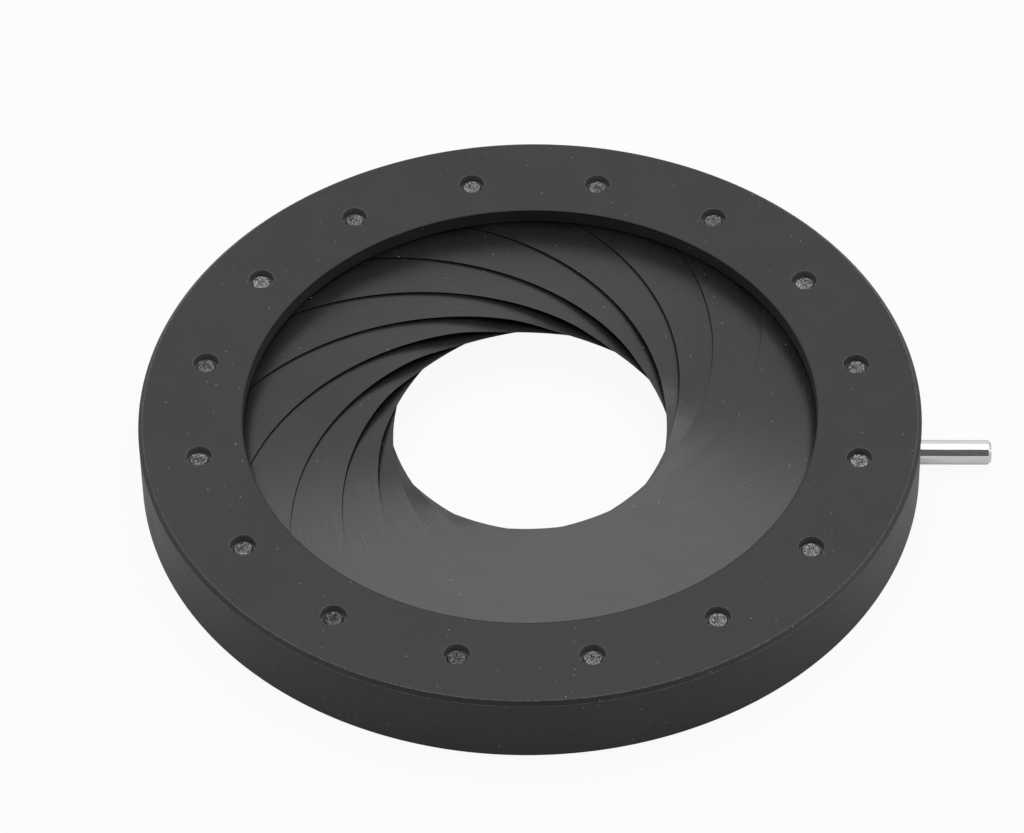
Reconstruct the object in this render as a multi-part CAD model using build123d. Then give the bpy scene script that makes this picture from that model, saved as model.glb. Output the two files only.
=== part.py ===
from build123d import *
import math
import os

os.makedirs("parts", exist_ok=True)

# Driving dimensions in millimetres and degrees. The optical axis is Z, the
# front face looks along +Z, the lever points along +X, and Z is 0 at
# mid-thickness. Everything is drawn with the leaves about half closed. The
# clear bore is the body's diameter less the flange on both sides: 44 mm.
body_diameter = 60.0
body_thickness = 6.0
flange_width = 8.0
smallest_opening = 2.0
drawn_opening = 21.0
leaf_count = 16
rim_chamfer = 0.3

# Joint between the housing and the control ring, from the outside inwards.
rim_height = 2.7
seam_gap = 0.02
housing_wall = 1.0
lip_running_gap = 0.05
lip_wall = 0.53
lip_top_gap = 0.1
snap_ring_thickness = 0.4
snap_ring_depth_in_wall = 0.3
snap_ring_depth_in_lip = 0.18
snap_ring_play = 0.05
snap_ring_opening = 8.0

# Flange and pivot holes in the front face.
flange_thickness = 1.2
pivot_stud_diameter = 1.5
pivot_stud_recess = 0.42
pivot_stud_chamfer = 0.1
pivot_hole_gap = 0.05
hole_mouth_gap = 0.5
hole_mouth_depth = 0.7

# Leaves. Each is a thin curved strip with a slight twist.
leaf_thickness = 0.04
leaf_gap = 0.025
leaf_edge_gap = 0.12
leaf_under_flange = 0.03
pivot_from_leaf_edge = 2.7
pivot_end_step = 0.3
drive_end_margin = 0.55
leaf_drive_corner = 3.0
leaf_pivot_corner = 0.8

# Drive studs and the slots they run in.
drive_stud_diameter = 1.0
drive_stud_depth = 1.5
drive_stud_inner_margin = 0.9
slot_side_play = 0.5
slot_end_gap = 0.05
drive_ratio = 1.974

# Lever pin, with a thinner shank that is pressed into the control ring's rim.
lever_diameter = 1.9
lever_reach = 5.5
lever_shank_diameter = 1.3
lever_shank_length = 3.4
lever_seat_gap = 0.02
lever_chamfer = 0.25

# Sizes that follow from the ones above.
body_radius = body_diameter / 2
bore_radius = body_radius - flange_width
front = body_thickness / 2
rear = -body_thickness / 2
flange_bottom = front - flange_thickness
rim_top = rear + rim_height
housing_bore_radius = body_radius - housing_wall
lip_outer_radius = housing_bore_radius - lip_running_gap
lip_inner_radius = lip_outer_radius - lip_wall
snap_ring_outer_radius = housing_bore_radius + snap_ring_depth_in_wall
snap_ring_inner_radius = lip_outer_radius - snap_ring_depth_in_lip
leaf_outer_radius = lip_inner_radius - leaf_edge_gap
pivot_radius = leaf_outer_radius - pivot_from_leaf_edge
pivot_hole_diameter = pivot_stud_diameter + pivot_hole_gap
hole_mouth_diameter = pivot_stud_diameter + hole_mouth_gap
leaf_pivot_end_radius = pivot_from_leaf_edge - pivot_end_step
leaf_drive_end_radius = drive_stud_diameter / 2 + drive_end_margin
slot_width = drive_stud_diameter + 2 * slot_side_play
leaf_step = 360 / leaf_count
half_swing = 2 * pivot_radius
closed_angle = math.degrees(2 * math.asin((bore_radius - smallest_opening / 2) / half_swing))
drawn_angle = math.degrees(2 * math.asin((bore_radius - drawn_opening / 2) / half_swing))
middle_angle = closed_angle / 2


def polar(radius, angle):
    """A point at this radius and this angle in degrees."""
    return radius * math.cos(math.radians(angle)), radius * math.sin(math.radians(angle))


# In the leaf's own frame the leaf is fully open, its pivot is on the X axis
# and its inner edge is centred on the optical axis.
pivot_x = pivot_radius
pivot_y = 0.0
drive_middle_radius = bore_radius + drive_stud_inner_margin
drive_arm = pivot_radius + drive_middle_radius
arm_x, arm_y = polar(drive_arm, 180 + middle_angle)
drive_x = pivot_x + arm_x
drive_y = pivot_y + arm_y
leaf_end_angle = math.degrees(math.atan2(drive_y, drive_x))

# The leaf's surface falls steadily with the angle around a point just inside
# its inner edge, where the optical axis is when the leaves are closed. That
# keeps the leaves apart at every opening.
closed_axis_x = pivot_x - pivot_radius * math.cos(math.radians(closed_angle))
closed_axis_y = -pivot_radius * math.sin(math.radians(closed_angle))
twist_x = 0.97 * closed_axis_x
twist_y = 0.97 * closed_axis_y
twist_rate = (leaf_thickness + leaf_gap) / (0.585 * math.radians(leaf_step))


def turn_from_pivot(x, y):
    """The clockwise angle in radians from the pivot to a point, around the twist point."""
    start = math.atan2(pivot_y - twist_y, pivot_x - twist_x)
    here = math.atan2(y - twist_y, x - twist_x)
    return (start - here + 0.6) % (2 * math.pi) - 0.6


pivot_end_rise = twist_rate * leaf_pivot_end_radius / pivot_radius
leaf_top_at_pivot = flange_bottom - leaf_under_flange - pivot_end_rise


def leaf_top(x, y):
    """The height of the leaf's upper surface at a point of its own frame."""
    return leaf_top_at_pivot - twist_rate * turn_from_pivot(x, y)


drive_end_drop = twist_rate * leaf_drive_end_radius / pivot_radius
leaf_lowest = leaf_top(drive_x, drive_y) - drive_end_drop - leaf_thickness
plate_top = leaf_lowest - 0.05
lip_top = flange_bottom - lip_top_gap
snap_ring_height = (plate_top + lip_top) / 2

# Front housing: the flange with its pivot holes, and a short outer wall.
wall_bottom = rim_top + seam_gap
housing = Pos(0, 0, wall_bottom) * Cylinder(
    body_radius, front - wall_bottom, align=(Align.CENTER, Align.CENTER, Align.MIN)
)
housing = chamfer(housing.edges().sort_by(Axis.Z)[-1], rim_chamfer)
housing -= Cylinder(bore_radius, 2 * body_thickness)
housing -= Pos(0, 0, flange_bottom) * Cylinder(
    housing_bore_radius, body_thickness, align=(Align.CENTER, Align.CENTER, Align.MAX)
)
housing -= Pos(0, 0, snap_ring_height) * Cylinder(snap_ring_outer_radius, snap_ring_thickness)
hole_places = PolarLocations(pivot_radius, leaf_count, leaf_step / 2)
pivot_hole = Cylinder(pivot_hole_diameter / 2, 3 * body_thickness)
hole_mouth = Pos(0, 0, front) * Cylinder(
    hole_mouth_diameter / 2, hole_mouth_depth, align=(Align.CENTER, Align.CENTER, Align.MAX)
)
housing -= hole_places * (pivot_hole + hole_mouth)

# Snap ring, open at one side, seated in the housing's inner groove.
snap_ring = Cylinder(snap_ring_outer_radius, snap_ring_thickness)
snap_ring -= Cylinder(snap_ring_inner_radius, snap_ring_thickness)
opening_width = 2 * snap_ring_outer_radius * math.sin(math.radians(snap_ring_opening / 2))
snap_ring -= Pos(-snap_ring_outer_radius, 0, 0) * Box(
    snap_ring_outer_radius, opening_width, 2 * snap_ring_thickness
)
snap_ring = Pos(0, 0, snap_ring_height) * snap_ring

# Rear control ring: a slotted plate, a rim of the body's full diameter and a
# thin lip that turns inside the housing.
control_ring = Pos(0, 0, rear) * Cylinder(
    body_radius, rim_height, align=(Align.CENTER, Align.CENTER, Align.MIN)
)
control_ring = chamfer(control_ring.edges().sort_by(Axis.Z)[0], rim_chamfer)
control_ring += Pos(0, 0, rear) * Cylinder(
    lip_outer_radius, lip_top - rear, align=(Align.CENTER, Align.CENTER, Align.MIN)
)
control_ring -= Pos(0, 0, plate_top) * Cylinder(
    lip_inner_radius, body_thickness, align=(Align.CENTER, Align.CENTER, Align.MIN)
)
control_ring -= Cylinder(bore_radius, 2 * body_thickness)
groove_floor = snap_ring_inner_radius - snap_ring_play
groove = Cylinder(body_radius, snap_ring_thickness + 2 * snap_ring_play)
groove -= Cylinder(groove_floor, body_thickness)
control_ring -= Pos(0, 0, snap_ring_height) * groove

# Radial slots, placed so that each drive stud is centred in its slot when the
# leaves are halfway between open and closed.
stud_inner_edge = drive_middle_radius - drive_stud_diameter / 2
slot_inner = stud_inner_edge - slot_end_gap + slot_width / 2
slot_outer = math.hypot(drive_x, drive_y) + slot_end_gap
slot_length = slot_outer - slot_inner
slot = Pos((slot_inner + slot_outer) / 2, 0, 0) * extrude(
    SlotCenterToCenter(slot_length, slot_width), amount=2 * body_thickness, both=True
)
first_slot = leaf_step / 2 + 180 - drive_ratio * (drawn_angle - middle_angle)
for number in range(leaf_count):
    control_ring -= Rot(0, 0, first_slot + number * leaf_step) * slot

# Lever pin. Its shoulder sits on the rim, and its shank fills a blind hole.
lever_height = (rear + rim_top) / 2
lever_length = lever_reach - lever_seat_gap
shank_length = lever_shank_length + lever_seat_gap
lever_pin = Cylinder(
    lever_diameter / 2, lever_length, align=(Align.CENTER, Align.CENTER, Align.MIN)
)
lever_pin = chamfer(lever_pin.edges().sort_by(Axis.Z)[-1], lever_chamfer)
lever_shank = Cylinder(
    lever_shank_diameter / 2, shank_length, align=(Align.CENTER, Align.CENTER, Align.MAX)
)
lever_seat = Pos(body_radius + lever_seat_gap, 0, lever_height) * Rot(0, 90, 0)
control_ring -= lever_seat * lever_shank
lever_pin = lever_seat * (lever_pin + lever_shank)


def leaf_outline():
    """The flat outline of a leaf, with a round end at each stud."""
    middle = leaf_end_angle / 2
    inner_edge = ThreePointArc(
        polar(bore_radius, 0), polar(bore_radius, middle), polar(bore_radius, leaf_end_angle)
    )
    outer_edge = ThreePointArc(
        polar(leaf_outer_radius, leaf_end_angle),
        polar(leaf_outer_radius, middle),
        polar(leaf_outer_radius, 0),
    )
    drive_side = Line(inner_edge @ 1, outer_edge @ 0)
    pivot_side = Line(outer_edge @ 1, inner_edge @ 0)
    strip = make_face([inner_edge, drive_side, outer_edge, pivot_side])
    strip += Pos(pivot_x, pivot_y) * Circle(leaf_pivot_end_radius)
    strip += Pos(drive_x, drive_y) * Circle(leaf_drive_end_radius)
    drive_corner = strip.vertices().sort_by_distance(inner_edge @ 1)[0]
    strip = fillet(drive_corner, leaf_drive_corner)
    pivot_corner = strip.vertices().sort_by_distance(inner_edge @ 0)[0]
    return fillet(pivot_corner, leaf_pivot_corner)


def twisted_sheet():
    """A twisted sheet of leaf thickness that covers the whole outline."""
    rows = []
    across = 6
    along = 50
    inner = bore_radius - 0.25
    outer = leaf_outer_radius + 0.45
    first = math.degrees(leaf_pivot_end_radius / pivot_radius) + 2
    last = leaf_end_angle - math.degrees(leaf_drive_end_radius / pivot_radius) - 1.5
    for i in range(along):
        angle = first + (last - first) * i / (along - 1)
        row = []
        for j in range(across):
            x, y = polar(inner + (outer - inner) * j / (across - 1), angle)
            row.append(Vector(x, y, leaf_top(x, y) - leaf_thickness))
        rows.append(row)
    under_side = Face.make_surface_from_array_of_points(rows, tol=0.002, min_deg=1, max_deg=3)
    return extrude(under_side, amount=leaf_thickness, dir=(0, 0, 1))


# One leaf and its two studs, drawn fully open in the leaf's own frame.
leaf = twisted_sheet() & Pos(0, 0, rear) * extrude(leaf_outline(), amount=body_thickness)
leaf = leaf.solids()[0]
half_leaf = leaf_thickness / 2
stud_top = front - pivot_stud_recess
stud_bottom = leaf_top(pivot_x, pivot_y) - half_leaf
pivot_stud = Pos(pivot_x, pivot_y, stud_bottom) * Cylinder(
    pivot_stud_diameter / 2,
    stud_top - stud_bottom,
    align=(Align.CENTER, Align.CENTER, Align.MIN),
)
pivot_stud = chamfer(pivot_stud.edges().sort_by(Axis.Z)[-1], pivot_stud_chamfer)
pivot_stud = (pivot_stud - leaf).solids()[0]
drive_top = leaf_top(drive_x, drive_y) - half_leaf
drive_stud_length = drive_top - plate_top + drive_stud_depth
drive_stud = Pos(drive_x, drive_y, drive_top) * Cylinder(
    drive_stud_diameter / 2,
    drive_stud_length,
    align=(Align.CENTER, Align.CENTER, Align.MAX),
)
drive_stud = (drive_stud - leaf).solids()[0]

export_step(housing, "parts/housing.step")
export_step(snap_ring, "parts/snap_ring.step")
export_step(control_ring, "parts/control_ring.step")
export_step(lever_pin, "parts/lever_pin.step")

# Every leaf swings in about its own pivot to the drawn opening, then turns to
# its place around the axis.
swing_in = Pos(pivot_x, pivot_y, 0) * Rot(0, 0, -drawn_angle) * Pos(-pivot_x, -pivot_y, 0)
for number in range(leaf_count):
    place = Rot(0, 0, leaf_step / 2 + number * leaf_step) * swing_in
    label = f"{number + 1:02d}"
    export_step(place * leaf, f"parts/leaf_{label}.step")
    export_step(place * pivot_stud, f"parts/pivot_stud_{label}.step")
    export_step(place * drive_stud, f"parts/drive_stud_{label}.step")
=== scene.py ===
import logging
import math
from dataclasses import dataclass
from enum import Enum
from typing import Callable, Sequence

import bmesh
import bpy
from mathutils import Matrix, Vector


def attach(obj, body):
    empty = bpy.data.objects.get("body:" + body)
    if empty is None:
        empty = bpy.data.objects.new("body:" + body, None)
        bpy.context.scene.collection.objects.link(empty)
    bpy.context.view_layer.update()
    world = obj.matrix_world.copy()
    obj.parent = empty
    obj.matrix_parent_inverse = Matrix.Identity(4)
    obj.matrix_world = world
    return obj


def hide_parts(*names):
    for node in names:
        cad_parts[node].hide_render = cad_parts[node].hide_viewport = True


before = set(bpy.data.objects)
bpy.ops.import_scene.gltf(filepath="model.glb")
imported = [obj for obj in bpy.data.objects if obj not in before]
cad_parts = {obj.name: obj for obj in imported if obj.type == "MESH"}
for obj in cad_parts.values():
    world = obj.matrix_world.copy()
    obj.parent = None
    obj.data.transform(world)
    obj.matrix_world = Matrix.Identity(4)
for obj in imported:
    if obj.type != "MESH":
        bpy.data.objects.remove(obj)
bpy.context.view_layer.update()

logging.basicConfig(level=logging.INFO, format="%(message)s")
log = logging.getLogger("iris")

MM = 0.001
# Points closer than WELD metres are merged, and a corner is found within NEAR metres.
WELD = 1e-7
NEAR = 1e-5
# Faces that meet at less than FLAT radians are one plane.
FLAT = 0.01
# A cutter runs this many millimetres past what it cuts.
OVERCUT = 0.3
LEAF_COUNT = 16
LEAF_STEP = 360.0 / LEAF_COUNT
Test = Callable[[Vector], bool]
Corner = tuple[float, float, float, int]


def srgb(hex_colour: str) -> tuple[float, float, float, float]:
    """Turn an sRGB hex value into the linear colour that a shader takes.

    Args:
        hex_colour: six hex digits, with or without a leading #.

    Returns:
        The linear red, green and blue, and an alpha of 1.
    """
    digits = hex_colour.lstrip("#")
    values = []
    for start in (0, 2, 4):
        part = int(digits[start:start + 2], 16) / 255
        values.append(part / 12.92 if part <= 0.04045 else ((part + 0.055) / 1.055) ** 2.4)
    return values[0], values[1], values[2], 1.0


def per_mm(size_mm: float) -> float:
    """The scale that gives a pattern with features of this size in millimetres."""
    return 1.0 / (size_mm * MM)


class Graph:
    """The node tree of one material or of the world, with a small way to add to it."""

    def __init__(self, owner: bpy.types.Material | bpy.types.World) -> None:
        """Start with an empty tree.

        Args:
            owner: a new material, named after the real finish, or the world.
        """
        owner.use_nodes = True
        self.owner = owner
        self.tree = owner.node_tree
        self.tree.nodes.clear()

    def node(self, kind: str, settings: dict | None = None, links: dict | None = None) -> bpy.types.Node:
        """Add one node.

        Args:
            kind: the node's type name.
            settings: attributes by name, and input values by socket name or number.
            links: what feeds each input, by socket name or number.

        Returns:
            The new node.
        """
        made = self.tree.nodes.new(kind)
        for key, value in (settings or {}).items():
            if isinstance(key, str) and hasattr(made, key):
                setattr(made, key, value)
            else:
                made.inputs[key].default_value = value
        for key, source in (links or {}).items():
            self.tree.links.new(source, made.inputs[key])
        return made

    def from_axis(self, place: bpy.types.NodeSocket) -> bpy.types.NodeSocket:
        """Measure how far a point is from the optical axis.

        Args:
            place: the object's coordinates, in metres.

        Returns:
            The radius in metres.
        """
        flat = self.node(
            "ShaderNodeVectorMath", {"operation": "MULTIPLY", 1: (1.0, 1.0, 0.0)}, {0: place}
        )
        radius = self.node("ShaderNodeVectorMath", {"operation": "LENGTH"}, {0: flat.outputs[0]})
        return radius.outputs["Value"]

    def finish(self, shader: bpy.types.Node) -> bpy.types.Material:
        """Join the shader to the material's output.

        Args:
            shader: the node whose first output is the surface.

        Returns:
            The finished material.
        """
        self.node("ShaderNodeOutputMaterial", links={"Surface": shader.outputs[0]})
        return self.owner


@dataclass(frozen=True)
class DustSpecks:
    """Sparse pale dust specks, most of them faint and a few bright."""

    spacing_mm: float = 0.62
    speck_mm: float = 0.055
    core_share: float = 0.45
    cell_share: float = 0.42
    brightest: float = 0.9
    colour: str = "#b8b8b8"

    def over(self, graph: Graph, place: bpy.types.NodeSocket,
             base: bpy.types.NodeSocket) -> bpy.types.NodeSocket:
        """Scatter the specks over a colour.

        Args:
            graph: the material.
            place: the coordinates that the specks lie on, in metres.
            base: the colour of the clean surface.

        Returns:
            The colour with the specks on it.
        """
        cells = graph.node(
            "ShaderNodeTexVoronoi",
            {"voronoi_dimensions": "3D", "Scale": per_mm(self.spacing_mm)},
            {"Vector": place},
        )
        reach = self.speck_mm / self.spacing_mm
        near = graph.node(
            "ShaderNodeMapRange",
            {"From Min": reach * self.core_share, "From Max": reach, "To Min": 1.0, "To Max": 0.0},
            {"Value": cells.outputs["Distance"]},
        ).outputs["Result"]
        # Only some cells carry a speck, chosen by the cell's own random colour.
        pick = graph.node("ShaderNodeSeparateColor", links={"Color": cells.outputs["Color"]})
        chosen = graph.node(
            "ShaderNodeMapRange",
            {"From Min": 1 - self.cell_share, "From Max": 1.0, "To Min": 0.0, "To Max": self.brightest},
            {"Value": pick.outputs["Red"]},
        ).outputs["Result"]
        dust = graph.node("ShaderNodeMath", {"operation": "MULTIPLY"}, {0: near, 1: chosen}).outputs[0]
        return graph.node(
            "ShaderNodeMix", {"data_type": "RGBA", 7: srgb(self.colour)}, {0: dust, 6: base}
        ).outputs[2]


@dataclass(frozen=True)
class RingLine:
    """A line that runs right round the optical axis, at a radius and a height.

    Turned edges carry such lines: a rubbed one is paler, and a darker one is painted shade along the edge.
    """

    radius_mm: float
    height_mm: float
    width_mm: float
    core_share: float = 0.3

    def add(self, graph: Graph, place: bpy.types.NodeSocket) -> bpy.types.NodeSocket:
        """Add the line to a material.

        Args:
            graph: the material.
            place: the object's coordinates, in metres.

        Returns:
            1 on the line, falling to 0 at its width.
        """
        height = graph.node("ShaderNodeSeparateXYZ", links={0: place})
        pair = graph.node(
            "ShaderNodeCombineXYZ", links={0: graph.from_axis(place), 1: height.outputs["Z"]}
        )
        away = graph.node(
            "ShaderNodeVectorMath",
            {"operation": "DISTANCE", 1: (self.radius_mm * MM, self.height_mm * MM, 0.0)},
            {0: pair.outputs[0]},
        )
        core = self.width_mm * self.core_share * MM
        return graph.node(
            "ShaderNodeMapRange",
            {"From Min": core, "From Max": self.width_mm * MM, "To Min": 1.0, "To Max": 0.0},
            {"Value": away.outputs["Value"]},
        ).outputs["Result"]


@dataclass(frozen=True)
class BlackAnodisedAluminium:
    """Aluminium, fine-turned, bead-blasted and dyed black.

    It gives the eye an even dark grey with a soft, broad shine, a fine grain
    and edges that have rubbed a little paler.
    """

    name: str
    dark: str = "#272727"
    light: str = "#2f2f2f"
    rubbed: str = "#626262"
    # This near-black is painted shade, for the dark lines where an edge's shadow falls.
    painted_shade: str = "#0c0c0c"
    roughness: float = 0.46
    roughness_spread: float = 0.04
    specular: float = 0.25
    grain_mm: float = 0.16
    mottle_mm: float = 6.0
    grain_depth_mm: float = 0.004
    rubbed_edges: tuple[RingLine, ...] = ()
    # These lines darken the colour: painted shade where an edge's shadow falls.
    painted_shade_edges: tuple[RingLine, ...] = ()

    def build(self) -> bpy.types.Material:
        """Make the material.

        Returns:
            The finished material.
        """
        g = Graph(bpy.data.materials.new(self.name))
        place = g.node("ShaderNodeTexCoord").outputs["Object"]
        # A blasted grain, taken as 0.05 mm, is too fine to show, so it is drawn three times as coarse.
        grain = g.node(
            "ShaderNodeTexNoise",
            {"Scale": per_mm(self.grain_mm), "Detail": 3.0, "Roughness": 0.6},
            {"Vector": place},
        ).outputs["Fac"]
        mottle = g.node(
            "ShaderNodeTexNoise",
            {"Scale": per_mm(self.mottle_mm), "Detail": 4.0, "Roughness": 0.55},
            {"Vector": place},
        ).outputs["Fac"]
        shade = g.node(
            "ShaderNodeMapRange", {"From Min": 0.3, "From Max": 0.7}, {"Value": mottle}
        ).outputs["Result"]
        base = g.node(
            "ShaderNodeMix",
            {"data_type": "RGBA", 6: srgb(self.dark), 7: srgb(self.light)},
            {0: shade},
        ).outputs[2]
        speckle = g.node(
            "ShaderNodeMapRange",
            {"From Min": 0.25, "From Max": 0.75, "To Min": 0.9, "To Max": 1.1},
            {"Value": grain},
        ).outputs["Result"]
        colour = g.node(
            "ShaderNodeMix",
            {"data_type": "RGBA", "blend_type": "MULTIPLY", 0: 1.0},
            {6: base, 7: speckle},
        ).outputs[2]
        # The dye wears off an edge in patches, never evenly.
        patches = g.node(
            "ShaderNodeMapRange",
            {"From Min": 0.42, "From Max": 0.66, "To Min": 0.1, "To Max": 1.0},
            {"Value": grain},
        ).outputs["Result"]
        for line in self.rubbed_edges:
            worn = g.node("ShaderNodeMath", {"operation": "MULTIPLY"}, {0: line.add(g, place), 1: patches})
            colour = g.node(
                "ShaderNodeMix",
                {"data_type": "RGBA", 7: srgb(self.rubbed)},
                {0: worn.outputs[0], 6: colour},
            ).outputs[2]
        # Painted shade: each such line darkens the colour along an edge, where its shadow falls.
        for line in self.painted_shade_edges:
            colour = g.node(
                "ShaderNodeMix",
                {"data_type": "RGBA", 7: srgb(self.painted_shade)},
                {0: line.add(g, place), 6: colour},
            ).outputs[2]
        low, high = self.roughness - self.roughness_spread, self.roughness + self.roughness_spread
        rough = g.node(
            "ShaderNodeMapRange",
            {"From Min": 0.3, "From Max": 0.7, "To Min": low, "To Max": high},
            {"Value": mottle},
        ).outputs["Result"]
        bump = g.node(
            "ShaderNodeBump", {"Strength": 0.35, "Distance": self.grain_depth_mm * MM}, {"Height": grain}
        ).outputs[0]
        shader = g.node(
            "ShaderNodeBsdfPrincipled",
            {"Metallic": 0.0, "Specular IOR Level": self.specular},
            {"Base Color": DustSpecks().over(g, place, colour), "Roughness": rough, "Normal": bump},
        )
        return g.finish(shader)


@dataclass(frozen=True)
class BlackenedSpringSteel:
    """Thin rolled spring steel, chemically blackened.

    It gives the eye a satin dark grey whose sheen follows the leaf's curve,
    with faint rub marks where the next leaf slides over it.
    """

    name: str
    dark: str = "#161616"
    light: str = "#1f1f1f"
    rubbed: str = "#3c3c3c"
    scribed: str = "#0e0e0e"
    roughness: float = 0.28
    specular: float = 0.46
    mottle_mm: float = 5.0
    rub_width_mm: float = 0.12
    rub_length_mm: float = 6.0
    rub_depth_mm: float = 0.002
    scribe_width_mm: float = 0.35
    scribe_length_mm: float = 60.0
    bow: float = 0.18

    def build(self) -> bpy.types.Material:
        """Make the material.

        Returns:
            The finished material.
        """
        g = Graph(bpy.data.materials.new(self.name))
        place = g.node("ShaderNodeTexCoord").outputs["Object"]
        along = g.node("ShaderNodeUVMap", {"uv_map": "leaf_frame"}).outputs["UV"]
        mottle = g.node(
            "ShaderNodeTexNoise",
            {"Scale": per_mm(self.mottle_mm), "Detail": 4.0, "Roughness": 0.55},
            {"Vector": place},
        ).outputs["Fac"]
        shade = g.node(
            "ShaderNodeMapRange", {"From Min": 0.3, "From Max": 0.7}, {"Value": mottle}
        ).outputs["Result"]
        colour = g.node(
            "ShaderNodeMix",
            {"data_type": "RGBA", 6: srgb(self.dark), 7: srgb(self.light)},
            {0: shade},
        ).outputs[2]
        # Rub marks run along the leaf, narrow and long.
        stretched = g.node(
            "ShaderNodeMapping",
            {"Scale": (per_mm(self.rub_width_mm), per_mm(self.rub_length_mm), 1.0)},
            {"Vector": along},
        ).outputs[0]
        rubs = g.node(
            "ShaderNodeTexNoise", {"Scale": 1.0, "Detail": 3.0, "Roughness": 0.6}, {"Vector": stretched}
        ).outputs["Fac"]
        rub_share = g.node(
            "ShaderNodeMapRange",
            {"From Min": 0.56, "From Max": 0.8, "To Min": 0.0, "To Max": 0.5},
            {"Value": rubs},
        ).outputs["Result"]
        colour = g.node(
            "ShaderNodeMix", {"data_type": "RGBA", 7: srgb(self.rubbed)}, {0: rub_share, 6: colour}
        ).outputs[2]
        # The corners of the next leaf have scribed a few fine dark arcs, the crests of a long noise.
        drawn_out = g.node(
            "ShaderNodeMapping",
            {"Scale": (per_mm(self.scribe_width_mm), per_mm(self.scribe_length_mm), 1.0)},
            {"Vector": along},
        ).outputs[0]
        arcs = g.node(
            "ShaderNodeTexNoise", {"Scale": 1.0, "Detail": 1.0, "Roughness": 0.5}, {"Vector": drawn_out}
        ).outputs["Fac"]
        arc_share = g.node(
            "ShaderNodeMapRange",
            {"From Min": 0.66, "From Max": 0.7, "To Min": 0.0, "To Max": 0.75},
            {"Value": arcs},
        ).outputs["Result"]
        colour = g.node(
            "ShaderNodeMix", {"data_type": "RGBA", 7: srgb(self.scribed)}, {0: arc_share, 6: colour}
        ).outputs[2]
        # A rubbed mark is a little smoother than the steel beside it.
        rough = g.node(
            "ShaderNodeMapRange",
            {
                "From Min": 0.3,
                "From Max": 0.8,
                "To Min": self.roughness + 0.04,
                "To Max": self.roughness - 0.06,
            },
            {"Value": rubs},
        ).outputs["Result"]
        # The real leaves bow up towards the middle, and the solid ones don't. Only the sheen follows
        # a bow here, as on a broad cone whose slope is bow, which is about 10 degrees.
        rise = g.node(
            "ShaderNodeMath", {"operation": "MULTIPLY", 1: -self.bow}, {0: g.from_axis(place)}
        ).outputs[0]
        bowed = g.node("ShaderNodeBump", {"Strength": 1.0, "Distance": 1.0}, {"Height": rise}).outputs[0]
        bump = g.node(
            "ShaderNodeBump",
            {"Strength": 0.18, "Distance": self.rub_depth_mm * MM},
            {"Height": rubs, "Normal": bowed},
        ).outputs[0]
        shader = g.node(
            "ShaderNodeBsdfPrincipled",
            {"Metallic": 0.0, "Specular IOR Level": self.specular},
            {"Base Color": DustSpecks().over(g, place, colour), "Roughness": rough, "Normal": bump},
        )
        return g.finish(shader)


class SteelSurface(Enum):
    """How a bare steel piece was made."""

    SHEARED = "sheared"
    TURNED = "turned"
    POLISHED = "polished"
    DRAWN = "drawn"


@dataclass(frozen=True)
class SteelLook:
    """The colours and the grain of one kind of bare steel surface.

    The dullest of several pieces is dullest times as bright as the brightest.
    """

    dark: str
    light: str
    roughness: float
    grain_length_mm: float
    grain_width_mm: float
    depth_mm: float
    dullest: float


# Turning, drawing and polishing usually leave marks that are finer than these and too fine
# to show, so they are drawn as coarse as they need to be.
STEEL_LOOKS = {
    SteelSurface.SHEARED: SteelLook("#2e2e2d", "#a4a4a2", 0.5, 0.1, 0.1, 0.05, 0.5),
    SteelSurface.TURNED: SteelLook("#8c8c8a", "#a8a8a5", 0.36, 0.14, 0.14, 0.004, 0.9),
    SteelSurface.POLISHED: SteelLook("#cfcfcd", "#dadad7", 0.12, 3.0, 0.12, 0.0012, 0.97),
    SteelSurface.DRAWN: SteelLook("#7f7f7d", "#979795", 0.4, 0.2, 0.2, 0.003, 0.9),
}


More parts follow.
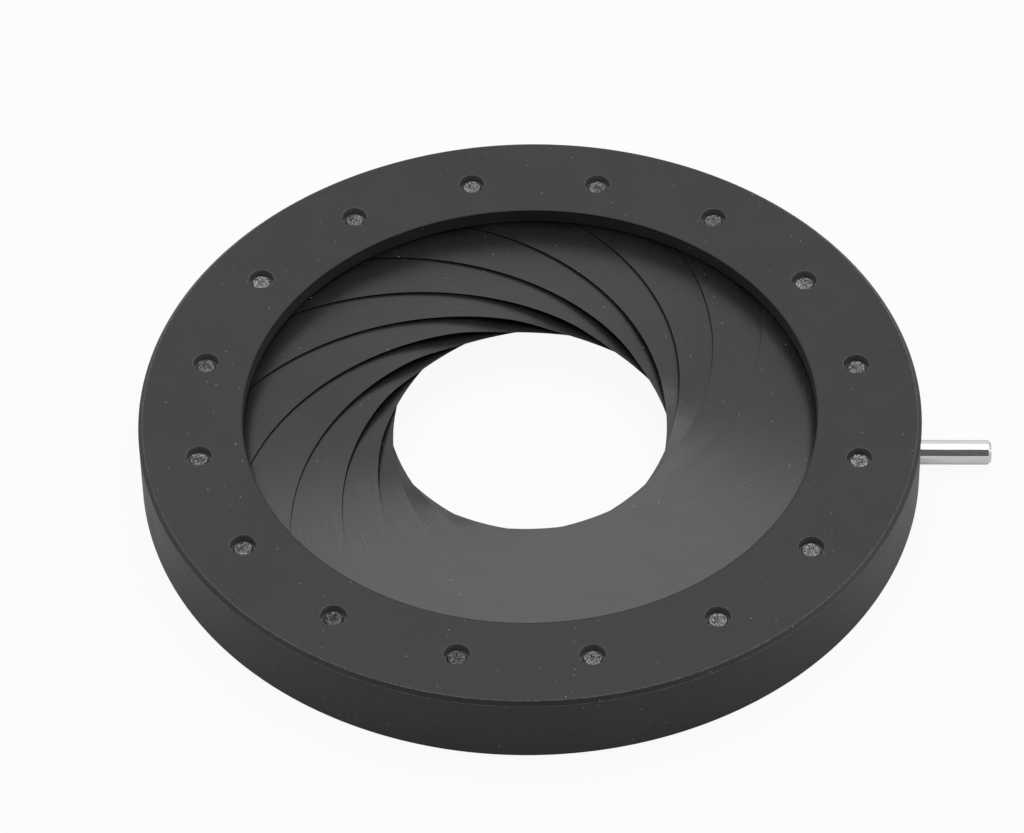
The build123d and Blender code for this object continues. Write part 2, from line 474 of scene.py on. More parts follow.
@dataclass(frozen=True)
class BareSteel:
    """Bare steel, with the surface that its making leaves.

    A sheared end gives the eye bright broken specks with dark pits, a turned
    or drawn one a plain grey shine, and a polished one clear reflections.
    """

    name: str
    surface: SteelSurface
    piece_to_piece_mm: float = 9.0

    def build(self) -> bpy.types.Material:
        """Make the material.

        Returns:
            The finished material.
        """
        g = Graph(bpy.data.materials.new(self.name))
        place = g.node("ShaderNodeTexCoord").outputs["Object"]
        look = STEEL_LOOKS[self.surface]
        across = per_mm(look.grain_width_mm)
        stretched = g.node(
            "ShaderNodeMapping",
            {"Scale": (per_mm(look.grain_length_mm), across, across)},
            {"Vector": place},
        ).outputs[0]
        grain = g.node(
            "ShaderNodeTexNoise", {"Scale": 1.0, "Detail": 3.0, "Roughness": 0.65}, {"Vector": stretched}
        ).outputs["Fac"]
        shade = g.node(
            "ShaderNodeMapRange", {"From Min": 0.35, "From Max": 0.65}, {"Value": grain}
        ).outputs["Result"]
        base = g.node(
            "ShaderNodeMix",
            {"data_type": "RGBA", 6: srgb(look.dark), 7: srgb(look.light)},
            {0: shade},
        ).outputs[2]
        # A noise much larger than a stud makes each end a little brighter or duller than the next.
        tone = g.node(
            "ShaderNodeTexNoise",
            {"Scale": per_mm(self.piece_to_piece_mm), "Detail": 0.0},
            {"Vector": place},
        ).outputs["Fac"]
        dulled = g.node(
            "ShaderNodeMapRange",
            {"From Min": 0.38, "From Max": 0.62, "To Min": look.dullest, "To Max": 1.0},
            {"Value": tone},
        ).outputs["Result"]
        colour = g.node(
            "ShaderNodeMix",
            {"data_type": "RGBA", "blend_type": "MULTIPLY", 0: 1.0},
            {6: base, 7: dulled},
        ).outputs[2]
        rough = g.node(
            "ShaderNodeMapRange",
            {
                "From Min": 0.3,
                "From Max": 0.7,
                "To Min": look.roughness - 0.04,
                "To Max": look.roughness + 0.06,
            },
            {"Value": grain},
        ).outputs["Result"]
        bump = g.node(
            "ShaderNodeBump", {"Strength": 0.6, "Distance": look.depth_mm * MM}, {"Height": grain}
        ).outputs[0]
        shader = g.node(
            "ShaderNodeBsdfPrincipled",
            {"Metallic": 1.0},
            {"Base Color": colour, "Roughness": rough, "Normal": bump},
        )
        return g.finish(shader)


class Bench:
    """Modelling steps made with Blender's own operators, on one piece at a time."""

    @staticmethod
    def clear() -> None:
        """Leave edit mode and deselect everything."""
        if bpy.context.object and bpy.context.object.mode != "OBJECT":
            bpy.ops.object.mode_set(mode="OBJECT")
        bpy.ops.object.select_all(action="DESELECT")

    @staticmethod
    def pick(piece: bpy.types.Object) -> None:
        """Make a piece the only selected and active object.

        Args:
            piece: the object.
        """
        Bench.clear()
        piece.select_set(True)
        bpy.context.view_layer.objects.active = piece

    @staticmethod
    def edit(piece: bpy.types.Object, mode: str = "VERT") -> None:
        """Enter edit mode with nothing selected.

        Args:
            piece: the object to edit.
            mode: VERT, EDGE or FACE, the kind of element that is selected.
        """
        Bench.pick(piece)
        bpy.ops.object.mode_set(mode="EDIT")
        bpy.ops.mesh.select_mode(type=mode)
        bpy.ops.mesh.select_all(action="DESELECT")

    @staticmethod
    def select(piece: bpy.types.Object, kind: str, test: Test) -> int:
        """Select what passes a test, by place.

        Args:
            piece: the object in edit mode.
            kind: verts, edges or faces.
            test: takes a vertex's place, or the middle of an edge or face.

        Returns:
            How many elements were selected.
        """
        modes = {"verts": "VERT", "edges": "EDGE", "faces": "FACE"}
        bpy.ops.mesh.select_mode(type=modes[kind])
        bpy.ops.mesh.select_all(action="DESELECT")
        mesh = bmesh.from_edit_mesh(piece.data)
        count = 0
        for item in getattr(mesh, kind):
            if kind == "verts":
                middle = item.co
            elif kind == "edges":
                middle = (item.verts[0].co + item.verts[1].co) / 2
            else:
                middle = item.calc_center_median()
            if test(middle):
                item.select_set(True)
                count += 1
        bmesh.update_edit_mesh(piece.data)
        return count

    @staticmethod
    def tidy() -> None:
        """Merge doubled points of the mesh in edit mode and turn its faces outwards."""
        bpy.ops.mesh.select_all(action="SELECT")
        bpy.ops.mesh.remove_doubles(threshold=WELD)
        bpy.ops.mesh.normals_make_consistent(inside=False)
        bpy.ops.object.mode_set(mode="OBJECT")

    @staticmethod
    def smooth(piece: bpy.types.Object, degrees: float = 35.0) -> None:
        """Shade smooth, with edges over this angle left sharp and flat faces kept flat.

        Args:
            piece: the object.
            degrees: the sharpest angle between faces that is still smoothed.
        """
        Bench.pick(piece)
        bpy.ops.object.shade_smooth_by_angle(angle=math.radians(degrees))
        bpy.ops.object.modifier_add(type="WEIGHTED_NORMAL")
        change = piece.modifiers[-1]
        change.keep_sharp = True
        change.weight = 100
        bpy.ops.object.modifier_apply(modifier=change.name)

    @staticmethod
    def apply_place(piece: bpy.types.Object) -> None:
        """Move the object's place, turn and scale into its mesh."""
        Bench.pick(piece)
        bpy.ops.object.transform_apply(location=True, rotation=True, scale=True)

    @staticmethod
    def copy_turned(piece: bpy.types.Object, name: str, degrees: float) -> bpy.types.Object:
        """Copy a piece with its own mesh and turn it around the optical axis.

        Args:
            piece: the piece to copy.
            name: the copy's name.
            degrees: the turn, counterclockwise from the front.

        Returns:
            The copy.
        """
        Bench.pick(piece)
        bpy.ops.object.duplicate()
        made = bpy.context.object
        made.name = name
        made.data.name = name
        made.rotation_euler = (0.0, 0.0, math.radians(degrees))
        Bench.apply_place(made)
        return made

    @staticmethod
    def join(pieces: Sequence[bpy.types.Object]) -> bpy.types.Object:
        """Join objects into the first one.

        Args:
            pieces: the objects.

        Returns:
            The joined object.
        """
        Bench.clear()
        for piece in pieces:
            piece.select_set(True)
        bpy.context.view_layer.objects.active = pieces[0]
        bpy.ops.object.join()
        return pieces[0]

    @staticmethod
    def cut(piece: bpy.types.Object, cutter: bpy.types.Object) -> None:
        """Take the cutter's volume out of a piece, and remove the cutter.

        Args:
            piece: the object that is cut.
            cutter: the object whose volume goes.
        """
        Bench.pick(piece)
        bpy.ops.object.modifier_add(type="BOOLEAN")
        change = piece.modifiers[-1]
        change.operation = "DIFFERENCE"
        change.solver = "EXACT"
        change.object = cutter
        bpy.ops.object.modifier_apply(modifier=change.name)
        bpy.data.objects.remove(cutter)

    @staticmethod
    def turned(name: str, rings: Sequence[tuple[float, float]], sides: int = 64) -> bpy.types.Object:
        """Model a turned solid along Z from a circle, extruded ring by ring.

        Args:
            name: the piece's name.
            rings: radius and height of each ring in millimetres, from the bottom up.
            sides: how many sides the circle has.

        Returns:
            The solid, closed at both ends.
        """
        Bench.clear()
        radius, height = rings[0]
        bpy.ops.mesh.primitive_circle_add(
            vertices=sides, radius=radius * MM, fill_type="NGON", location=(0, 0, height * MM)
        )
        made = bpy.context.object
        made.name = name
        made.data.name = name
        Bench.apply_place(made)
        bpy.ops.object.mode_set(mode="EDIT")
        bpy.ops.mesh.select_mode(type="FACE")
        bpy.ops.mesh.select_all(action="SELECT")
        for next_radius, next_height in rings[1:]:
            bpy.ops.mesh.extrude_region_move(
                TRANSFORM_OT_translate={"value": (0, 0, (next_height - height) * MM)}
            )
            grow = next_radius / radius
            bpy.ops.transform.resize(value=(grow, grow, 1), center_override=(0, 0, next_height * MM))
            radius, height = next_radius, next_height
        Bench.tidy()
        return made

    @staticmethod
    def spun(name: str, r_lines: Sequence[float], z_lines: Sequence[float],
             solid: Callable[[float, float], bool], corners: Sequence[Corner],
             steps: int = 256) -> bpy.types.Object:
        """Model a ring: shape its cross-section from a plane, then spin it around Z.

        Args:
            name: the piece's name.
            r_lines: the radii at which the section is divided, in millimetres.
            z_lines: the heights at which the section is divided, in millimetres.
            solid: says for a radius and a height whether the section is solid there.
            corners: radius, height, bevel width and segments of each bevelled corner.
            steps: how many steps the full turn has.

        Returns:
            The ring.
        """
        Bench.clear()
        low_r, high_r = min(r_lines), max(r_lines)
        low_z, high_z = min(z_lines), max(z_lines)
        middle = ((low_r + high_r) / 2 * MM, 0.0, (low_z + high_z) / 2 * MM)
        bpy.ops.mesh.primitive_plane_add(size=1.0, location=middle, rotation=(math.pi / 2, 0, 0))
        made = bpy.context.object
        made.name = name
        made.data.name = name
        Bench.apply_place(made)
        bpy.ops.object.mode_set(mode="EDIT")
        bpy.ops.mesh.select_all(action="SELECT")
        bpy.ops.transform.resize(
            value=((high_r - low_r) * MM, 1, (high_z - low_z) * MM), center_override=middle
        )
        for radius in sorted(r_lines)[1:-1]:
            bpy.ops.mesh.select_all(action="SELECT")
            bpy.ops.mesh.bisect(plane_co=(radius * MM, 0, 0), plane_no=(1, 0, 0), threshold=WELD)
        for height in sorted(z_lines)[1:-1]:
            bpy.ops.mesh.select_all(action="SELECT")
            bpy.ops.mesh.bisect(plane_co=(0, 0, height * MM), plane_no=(0, 0, 1), threshold=WELD)
        if Bench.select(made, "faces", lambda c: not solid(c.x / MM, c.z / MM)):
            bpy.ops.mesh.delete(type="FACE")
        bpy.ops.mesh.select_all(action="SELECT")
        bpy.ops.mesh.dissolve_limited(angle_limit=FLAT)
        for radius, height, width, segments in corners:
            place = Vector((radius * MM, 0, height * MM))
            if Bench.select(made, "verts", lambda c, p=place: (c - p).length < NEAR):
                bpy.ops.mesh.bevel(
                    offset=width * MM, segments=segments, affect="VERTICES", clamp_overlap=True
                )
        bpy.ops.mesh.select_mode(type="EDGE")
        bpy.ops.mesh.select_all(action="SELECT")
        bpy.ops.mesh.delete(type="ONLY_FACE")
        bpy.ops.mesh.select_all(action="SELECT")
        bpy.ops.mesh.spin(steps=steps, angle=2 * math.pi, center=(0, 0, 0), axis=(0, 0, 1))
        Bench.tidy()
        return made


class Finishes:
    """Every finish of the object, made once."""

    def __init__(self) -> None:
        """Make all the materials."""
        self.body = BlackAnodisedAluminium(
            "black_anodised_aluminium",
            rubbed_edges=(RingLine(29.68, 3.0, 0.07), RingLine(30.0, 2.7, 0.05)),
            # Painted shade: a dark line along the front edge of the bore, standing in for the shade there.
            painted_shade_edges=(RingLine(22.04, 2.97, 0.12),),
        ).build()
        self.ring = BlackAnodisedAluminium(
            "black_anodised_ring",
            rubbed_edges=(RingLine(29.68, -3.0, 0.07), RingLine(30.0, -2.7, 0.05)),
        ).build()
        # The walls and floors of the holes' mouths are painted light: the same anodised aluminium in a much
        # paler grey, so that these recesses, which lie in shade, render lighter.
        self.hole = BlackAnodisedAluminium(
            "black_anodised_hole_painted_light", dark="#5c5c5c", light="#686868"
        ).build()
        self.leaf = BlackenedSpringSteel("blackened_spring_steel").build()
        self.stud_end = BareSteel("sheared_steel_stud_end", SteelSurface.SHEARED).build()
        self.turned_steel = BareSteel("turned_steel_stud", SteelSurface.TURNED).build()
        self.pin = BareSteel("polished_steel_pin", SteelSurface.POLISHED).build()
        self.spring = BareSteel("drawn_spring_steel_ring", SteelSurface.DRAWN).build()


def dress(piece: bpy.types.Object, material: bpy.types.Material) -> None:
    """Give a piece one material all over.

    Args:
        piece: the object.
        material: its finish.
    """
    piece.data.materials.clear()
    piece.data.materials.append(material)


def seat(piece: bpy.types.Object, body: str, node: str) -> None:
    """Let a finished piece stand for a CAD node.

    Args:
        piece: the new piece.
        body: the body it moves with.
        node: the node it replaces.
    """
    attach(piece, body)
    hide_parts(node)
    log.info("%s: %d faces, rides on %s", piece.name, len(piece.data.polygons), body)


@dataclass
class Housing:
    """The fixed front housing: a flange with 16 stepped holes, and a short wall."""

    bore_radius: float = 22.0
    wall_inner_radius: float = 29.0
    body_radius: float = 30.0
    front: float = 3.0
    flange_bottom: float = 1.8
    # The seam over the control ring is drawn 0.008 mm wide, and is 0.02 mm wide in the solids.
    wall_bottom: float = -0.292
    groove_radius: float = 29.3
    groove_low: float = 0.917
    groove_high: float = 1.317
    rim_chamfer: float = 0.3
    pivot_radius: float = 25.6
    mouth_radius: float = 1.0
    mouth_depth: float = 0.7
    mouth_break: float = 0.04
    hole_radius: float = 0.775

    def section_is_solid(self, radius: float, height: float) -> bool:
        """Say where the cross-section is solid.

        Args:
            radius: the place's radius in millimetres.
            height: its height in millimetres.

        Returns:
            True in the flange and in the wall.
        """
        if height > self.flange_bottom:
            return True
        floor = self.groove_radius if self.groove_low < height < self.groove_high else self.wall_inner_radius
        return radius > floor

    def build(self, finishes: Finishes) -> bpy.types.Object:
        """Model the housing and cut its holes.

        Args:
            finishes: the object's materials.

        Returns:
            The finished piece.
        """
        made = Bench.spun(
            "front_housing",
            (self.bore_radius, self.wall_inner_radius, self.groove_radius, self.body_radius),
            (self.wall_bottom, self.groove_low, self.groove_high, self.flange_bottom, self.front),
            self.section_is_solid,
            (
                (self.body_radius, self.front, self.rim_chamfer, 1),
                (self.bore_radius, self.front, 0.05, 2),
                (self.bore_radius, self.flange_bottom, 0.05, 2),
            ),
        )
        # The drill's countersink leaves each mouth with a broken edge.
        step = self.front - self.mouth_depth
        cutter = Bench.turned(
            "hole_cutter",
            (
                (self.hole_radius, self.flange_bottom - OVERCUT),
                (self.hole_radius, step),
                (self.mouth_radius, step),
                (self.mouth_radius, self.front - self.mouth_break),
                (self.mouth_radius + 2 * self.mouth_break, self.front + self.mouth_break),
            ),
            sides=48,
        )
        cutter.location = (self.pivot_radius * MM, 0, 0)
        Bench.apply_place(cutter)
        turns = [LEAF_STEP * (number + 0.5) for number in range(LEAF_COUNT)]
        cutters = [Bench.copy_turned(cutter, "hole_cutter", turn) for turn in turns]
        bpy.data.objects.remove(cutter)
        Bench.cut(made, Bench.join(cutters))
        Bench.smooth(made)
        dress(made, finishes.body)
        # The paler grey, painted light, goes on the walls and floors of the holes' mouths.
        made.data.materials.append(finishes.hole)
        Bench.edit(made, "FACE")
        made.active_material_index = 1
        if Bench.select(made, "faces", self.is_hole_wall):
            bpy.ops.object.material_slot_assign()
        bpy.ops.object.mode_set(mode="OBJECT")
        seat(made, "housing", "housing")
        return made

    def is_hole_wall(self, middle: Vector) -> bool:
        """Whether a face's middle lies on the wall or floor of a hole's wide mouth.

        Args:
            middle: the middle of the face.

        Returns:
            True for the mouth's wall, broken edge and floor.
        """
        turn = math.degrees(math.atan2(middle.y, middle.x)) / LEAF_STEP - 0.5
        angle = math.radians((round(turn) + 0.5) * LEAF_STEP)
        centre = Vector((math.cos(angle), math.sin(angle), 0)) * self.pivot_radius * MM
        away = (Vector((middle.x, middle.y, 0)) - centre).length / MM
        below_front = self.front - middle.z / MM
        return away < self.mouth_radius + 0.035 and 0.001 < below_front < self.mouth_depth + 0.01


@dataclass
class ControlRing:
    """The rear ring that the lever turns: a slotted plate, a rim and a thin lip."""

    bore_radius: float = 22.0
    body_radius: float = 30.0
    lip_inner_radius: float = 28.42
    lip_outer_radius: float = 28.95
    groove_floor: float = 28.72
    groove_low: float = 0.867
    groove_high: float = 1.367
    rear: float = -3.0
    rim_top: float = -0.3
    plate_top: float = 0.534
    lip_top: float = 1.7
    rim_chamfer: float = 0.3
    slot_half_width: float = 1.0
    slot_inner: float = 23.35
    slot_outer: float = 27.306
    first_slot: float = 187.805

    def section_is_solid(self, radius: float, height: float) -> bool:
        """Say where the cross-section is solid.

        Args:
            radius: the place's radius in millimetres.
            height: its height in millimetres.

        Returns:
            True in the rim, in the slotted plate and in the lip.
        """
        if height < self.rim_top:
            return True
        if height < self.plate_top:
            return radius < self.lip_outer_radius
        outer = self.groove_floor if self.groove_low < height < self.groove_high else self.lip_outer_radius
        return self.lip_inner_radius < radius < outer

    def build(self, finishes: Finishes) -> bpy.types.Object:
        """Model the ring and cut its slots.

        Args:
            finishes: the object's materials.

        Returns:
            The finished piece.
        """
        made = Bench.spun(
            "rear_control_ring",
            (
                self.bore_radius,
                self.lip_inner_radius,
                self.groove_floor,
                self.lip_outer_radius,
                self.body_radius,
            ),
            (self.rear, self.rim_top, self.plate_top, self.groove_low, self.groove_high, self.lip_top),
            self.section_is_solid,
            (
                (self.body_radius, self.rear, self.rim_chamfer, 1),
                (self.bore_radius, self.rear, 0.12, 1),
                (self.bore_radius, self.plate_top, 0.05, 2),
            ),
        )
        cutter = self.slot_cutter()
        turns = [self.first_slot + LEAF_STEP * number for number in range(LEAF_COUNT)]
        cutters = [Bench.copy_turned(cutter, "slot_cutter", turn) for turn in turns]
        bpy.data.objects.remove(cutter)
        Bench.cut(made, Bench.join(cutters))
        Bench.smooth(made)
        dress(made, finishes.ring)
        seat(made, "control_ring", "control_ring")
        return made

    def slot_cutter(self) -> bpy.types.Object:
        """Model the volume of one slot: a plane with rounded ends, extruded.

        Returns:
            The cutter, along +X.
        """
        Bench.clear()
        low = self.slot_inner - self.slot_half_width
        high = self.slot_outer + self.slot_half_width
        middle = ((low + high) / 2 * MM, 0, (self.rear - OVERCUT) * MM)
        bpy.ops.mesh.primitive_plane_add(size=1.0, location=middle)
        made = bpy.context.object
        Bench.apply_place(made)
        bpy.ops.object.mode_set(mode="EDIT")
        bpy.ops.mesh.select_all(action="SELECT")
        bpy.ops.transform.resize(
            value=((high - low) * MM, 2 * self.slot_half_width * MM, 1), center_override=middle
        )
        bpy.ops.mesh.select_mode(type="VERT")
        bpy.ops.mesh.select_all(action="SELECT")
        # A bevel of the full half width would make the two rounded corners of an end meet in a point.
        bpy.ops.mesh.bevel(offset=self.slot_half_width * MM * 0.9999, segments=12, affect="VERTICES")
        bpy.ops.mesh.select_mode(type="FACE")
        bpy.ops.mesh.select_all(action="SELECT")
        bpy.ops.mesh.extrude_region_move(
            TRANSFORM_OT_translate={"value": (0, 0, (self.plate_top - self.rear + 2 * OVERCUT) * MM)}
        )
        Bench.tidy()
        return made


@dataclass
class LeverPin:
    """The polished pin that swings the ring, with its shank in the rim."""

    radius: float = 0.95
    seat_radius: float = 30.02
    tip_radius: float = 35.5
    tip_chamfer: float = 0.25
    tip_edge: float = 0.04
    shank_radius: float = 0.65
    shank_end: float = 26.6
    height: float = -1.65

    def build(self, finishes: Finishes) -> bpy.types.Object:
        """Model the pin.

        Args:
            finishes: the object's materials.

        Returns:
            The finished piece.
        """
        edge = self.tip_edge
        made = Bench.turned(
            "lever_pin_polished",
            (
                (self.shank_radius, self.shank_end),
                (self.shank_radius, self.seat_radius),
                (self.radius, self.seat_radius),
                (self.radius, self.tip_radius - self.tip_chamfer - edge),
                (self.radius - edge * 0.3, self.tip_radius - self.tip_chamfer + edge * 0.5),
                (self.radius - self.tip_chamfer + edge * 0.5, self.tip_radius - edge * 0.4),
                (self.radius - self.tip_chamfer - edge, self.tip_radius),
                (self.radius * 0.3, self.tip_radius),
            ),
            sides=96,
        )
        made.rotation_euler = (0, math.pi / 2, 0)
        made.location = (0, 0, self.height * MM)
        Bench.apply_place(made)
        Bench.smooth(made, degrees=25.0)
        dress(made, finishes.pin)
        seat(made, "control_ring", "lever_pin")
        return made


@dataclass
class SnapRing:
    """The open spring ring between housing and control ring, which stays as in the CAD."""

    def build(self, finishes: Finishes) -> None:
        """Dress the node.

        Args:
            finishes: the object's materials.
        """
        dress(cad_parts["snap_ring"], finishes.spring)
        log.info("snap_ring: CAD shape, new finish")


@dataclass
class PivotStud:
    """A leaf's pivot stud: its sheared end shows in the hole of the face."""

    radius: float = 0.75
    top: float = 2.58
    chamfer: float = 0.1
    bottom: float = 1.723
    pivot_radius: float = 25.6
    end_rings: tuple[float, ...] = (0.84, 0.67, 0.5, 0.34, 0.18)
    broken_depth: float = 0.05
    first_seed: int = 3

    def build_all(self, finishes: Finishes) -> None:
        """Model one stud, and place 16 copies with their own broken surface.

        Args:
            finishes: the object's materials.
        """
        flat = self.radius - self.chamfer
        rings = [(self.radius, self.bottom), (self.radius, self.top - self.chamfer), (flat, self.top)]
        rings += [(flat * share, self.top) for share in self.end_rings]
        master = Bench.turned("pivot_stud_master", rings, sides=32)
        master.location = (self.pivot_radius * MM, 0, 0)
        Bench.apply_place(master)
        for number in range(LEAF_COUNT):
            label = f"{number + 1:02d}"
            made = Bench.copy_turned(master, f"pivot_stud_end_{label}", LEAF_STEP * (number + 0.5))
            Bench.edit(made)
            limit = (self.top - 0.01) * MM
            Bench.select(made, "verts", lambda c: c.z > limit)
            bpy.ops.transform.vertex_random(
                offset=self.broken_depth * MM, uniform=0.0, normal=0.6, seed=number + self.first_seed
            )
            bpy.ops.object.mode_set(mode="OBJECT")
            dress(made, finishes.stud_end)
            seat(made, f"leaf_{label}", f"pivot_stud_{label}")
        bpy.data.objects.remove(master)


@dataclass
class DriveStud:
    """A leaf's drive stud, which runs in a slot of the control ring."""

    def build_all(self, finishes: Finishes) -> None:
        """Dress the 16 studs, which stay as in the CAD.

        Args:
            finishes: the object's materials.
        """
        for number in range(LEAF_COUNT):
            dress(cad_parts[f"drive_stud_{number + 1:02d}"], finishes.turned_steel)
        log.info("drive studs: CAD shape, new finish")


@dataclass
class Leaf:
    """A thin curved leaf, in the CAD's exact shape, with a map of its own frame."""

    pivot_radius: float = 25.6
    drawn_swing: float = 25.95982
    map_radius: float = 25.0

    def frame_of(self, number: int) -> Matrix:
        """The turn from the leaf's place on the object to its own fully open frame.

        Args:
            number: the leaf, counted from 0.

        Returns:
            The matrix that takes a point of the object to the leaf's frame.
        """
        pivot = Matrix.Translation((self.pivot_radius * MM, 0, 0))
        swing = pivot @ Matrix.Rotation(math.radians(-self.drawn_swing), 4, "Z") @ pivot.inverted()
        place = Matrix.Rotation(math.radians(LEAF_STEP * (number + 0.5)), 4, "Z") @ swing
        return place.inverted()

    def build_all(self, finishes: Finishes) -> None:
        """Make the 16 leaves.

        Args:
            finishes: the object's materials.
        """
        for number in range(LEAF_COUNT):
            label = f"{number + 1:02d}"
            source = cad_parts[f"leaf_{label}"]
            made = bpy.data.objects.new(f"iris_leaf_{label}", source.data.copy())
            bpy.context.scene.collection.objects.link(made)
            Bench.edit(made)
            bpy.ops.mesh.customdata_custom_splitnormals_clear()
            bpy.ops.mesh.select_all(action="SELECT")
            bpy.ops.mesh.remove_doubles(threshold=WELD)
            bpy.ops.object.mode_set(mode="OBJECT")
            Bench.smooth(made)
            self.map_frame(made, self.frame_of(number))
            dress(made, finishes.leaf)
            seat(made, f"leaf_{label}", f"leaf_{label}")

    def map_frame(self, piece: bpy.types.Object, to_leaf: Matrix) -> None:
        """Give a leaf a map whose U is the radius and V the way along the leaf, in metres.

        Args:
            piece: the leaf.
            to_leaf: the matrix that takes a point of the object to the leaf's frame.
        """
        layer = piece.data.uv_layers.new(name="leaf_frame")
        corners = []
        for loop in piece.data.loops:
            place = to_leaf @ piece.data.vertices[loop.vertex_index].co
            radius = math.hypot(place.x, place.y)
            corners += [radius, math.atan2(place.y, place.x) * self.map_radius * MM]
        layer.data.foreach_set("uv", corners)


@dataclass(frozen=True)
class Lamp:
    """One square soft lamp: its place and side in metres, and its power in watts."""

    name: str
    place: tuple[float, float, float]
    size: float
    power: float

    def build(self) -> None:
        """Add the lamp, pointed at the object."""
        data = bpy.data.lights.new(self.name, "AREA")
        data.shape = "SQUARE"
        data.size = self.size
        data.energy = self.power
        lamp = bpy.data.objects.new(self.name, data)
        bpy.context.scene.collection.objects.link(lamp)
        lamp.location = self.place
        lamp.rotation_mode = "QUATERNION"
        lamp.rotation_quaternion = Vector(self.place).to_track_quat("Z", "Y")


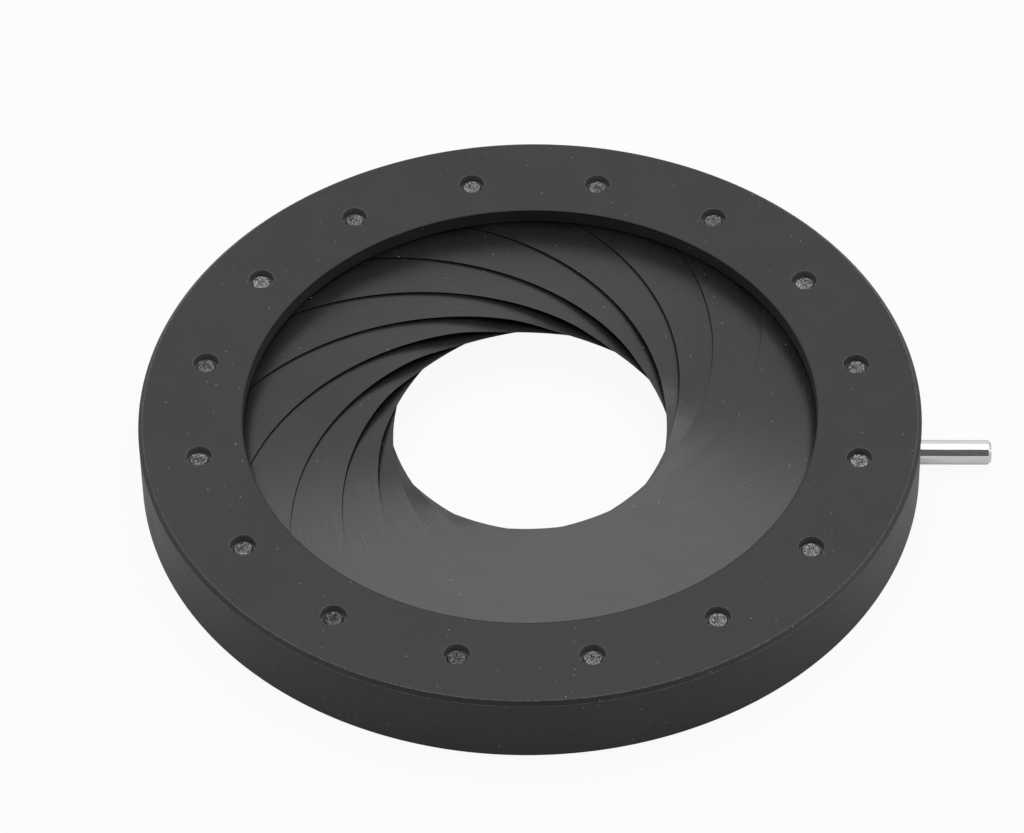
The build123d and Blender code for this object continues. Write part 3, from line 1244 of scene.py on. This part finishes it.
@dataclass
class Studio:
    """A pale floor, soft lamps and a camera as the photograph has them."""

    floor_height: float = -3.02
    floor_size: float = 3.0
    elevation: float = 45.75
    azimuth: float = 1.56
    roll: float = -0.986
    distance: float = 0.430
    target_height: float = 3.0
    lens: float = 197.37
    sensor_width: float = 36.0
    shift: tuple[float, float] = (-0.01734, -0.00711)
    clip: tuple[float, float] = (0.01, 20.0)
    world_light: float = 0.36
    floor_glow_seen: float = 0.93
    floor_glow_reflected: float = 0.3
    # A lamp above and a little behind, and a weaker one at each side.
    lamps: tuple[Lamp, ...] = (
        Lamp("lamp_top", (0.0, 0.156, 0.703), 0.7, 3.4),
        Lamp("lamp_left", (-0.7, -0.05, 0.2), 0.4, 0.15),
        Lamp("lamp_right", (0.7, -0.05, 0.2), 0.4, 0.8),
    )
    dark_side_place: tuple[float, float, float] = (0.0, -0.48, 0.4)
    dark_side_size: float = 0.78
    dark_side_glow: float = 0.15

    def build(self) -> None:
        """Set up the whole studio."""
        self.add_world()
        self.add_floor()
        self.add_dark_side()
        for lamp in self.lamps:
            lamp.build()
        self.add_camera()
        scene = bpy.context.scene
        scene.view_settings.view_transform = "Standard"

    def add_world(self) -> None:
        """White for what the camera and the reflections see, and softer as a light."""
        world = bpy.data.worlds.new("studio_white")
        bpy.context.scene.world = world
        g = Graph(world)
        seen = self.seen_directly(g, g.node("ShaderNodeLightPath"))
        strength = g.node(
            "ShaderNodeMapRange", {"To Min": self.world_light, "To Max": 1.0}, {"Value": seen}
        ).outputs["Result"]
        back = g.node("ShaderNodeBackground", {"Color": srgb("#ffffff")}, {"Strength": strength})
        g.node("ShaderNodeOutputWorld", links={"Surface": back.outputs[0]})

    @staticmethod
    def seen_directly(graph: Graph, path: bpy.types.Node) -> bpy.types.NodeSocket:
        """Tell the rays that show a surface from those that light another one.

        Args:
            graph: the graph that the nodes go in.
            path: its Light Path node.

        Returns:
            1 for camera, glossy and transmission rays, and 0 for others.
        """
        value = path.outputs["Is Camera Ray"]
        for name in ("Is Glossy Ray", "Is Transmission Ray"):
            links = {0: value, 1: path.outputs[name]}
            value = graph.node("ShaderNodeMath", {"operation": "MAXIMUM"}, links).outputs[0]
        return value

    def add_floor(self) -> None:
        """A plain white floor under the body, which keeps a faint shadow."""
        Bench.clear()
        bpy.ops.mesh.primitive_plane_add(size=self.floor_size, location=(0, 0, self.floor_height * MM))
        floor = bpy.context.object
        floor.name = "studio_floor"
        g = Graph(bpy.data.materials.new("studio_floor_white"))
        path = g.node("ShaderNodeLightPath")
        reflected = g.node(
            "ShaderNodeMath",
            {"operation": "MULTIPLY", 1: self.floor_glow_reflected},
            {0: self.seen_directly(g, path)},
        ).outputs[0]
        direct = g.node(
            "ShaderNodeMath",
            {"operation": "MULTIPLY", 1: self.floor_glow_seen},
            {0: path.outputs["Is Camera Ray"]},
        ).outputs[0]
        share = g.node("ShaderNodeMath", {"operation": "MAXIMUM"}, {0: reflected, 1: direct}).outputs[0]
        matte = g.node("ShaderNodeBsdfDiffuse", {"Color": srgb("#e0e0e0")})
        glow = g.node("ShaderNodeEmission", {"Color": srgb("#ffffff"), "Strength": 1.0})
        mix = g.node("ShaderNodeMixShader", links={0: share, 1: matte.outputs[0], 2: glow.outputs[0]})
        # From below, the floor lets the rear face be seen.
        below = g.node("ShaderNodeNewGeometry").outputs["Backfacing"]
        clear = g.node("ShaderNodeBsdfTransparent")
        both = g.node("ShaderNodeMixShader", links={0: below, 1: mix.outputs[0], 2: clear.outputs[0]})
        dress(floor, g.finish(both))

    def add_dark_side(self) -> None:
        """The studio's unlit side behind the camera, which only reflections show."""
        Bench.clear()
        place = Vector(self.dark_side_place)
        bpy.ops.mesh.primitive_plane_add(size=self.dark_side_size)
        card = bpy.context.object
        card.name = "studio_dark_side"
        card.rotation_mode = "QUATERNION"
        card.rotation_quaternion = place.to_track_quat("Z", "Y")
        card.location = place
        g = Graph(bpy.data.materials.new("studio_dark_cloth"))
        glow = g.node("ShaderNodeEmission", {"Color": srgb("#ffffff"), "Strength": self.dark_side_glow})
        dress(card, g.finish(glow))
        card.visible_camera = False
        card.visible_diffuse = False
        card.visible_shadow = False
        card.visible_transmission = False

    def add_camera(self) -> None:
        """The camera, at the angle and distance fitted to the photograph."""
        e, a, r = (math.radians(v) for v in (self.elevation, self.azimuth, self.roll))
        back = Vector((math.sin(a) * math.cos(e), -math.cos(a) * math.cos(e), math.sin(e)))
        right = Vector((math.cos(a), math.sin(a), 0))
        up = back.cross(right)
        turned_right = right * math.cos(r) + up * math.sin(r)
        turned_up = up * math.cos(r) - right * math.sin(r)
        place = Vector((0, 0, self.target_height * MM)) + back * self.distance
        data = bpy.data.cameras.new("camera")
        data.lens = self.lens
        data.sensor_width = self.sensor_width
        data.shift_x, data.shift_y = self.shift
        data.clip_start, data.clip_end = self.clip
        camera = bpy.data.objects.new("camera", data)
        bpy.context.scene.collection.objects.link(camera)
        rows = [(turned_right[i], turned_up[i], back[i], place[i]) for i in range(3)]
        camera.matrix_world = Matrix((*rows, (0, 0, 0, 1)))
        bpy.context.scene.camera = camera


def main() -> None:
    """Build every sub-assembly in order, then the studio."""
    finishes = Finishes()
    Housing().build(finishes)
    ControlRing().build(finishes)
    LeverPin().build(finishes)
    SnapRing().build(finishes)
    PivotStud().build_all(finishes)
    DriveStud().build_all(finishes)
    Leaf().build_all(finishes)
    Studio().build()


if __name__ == "__main__":
    main()
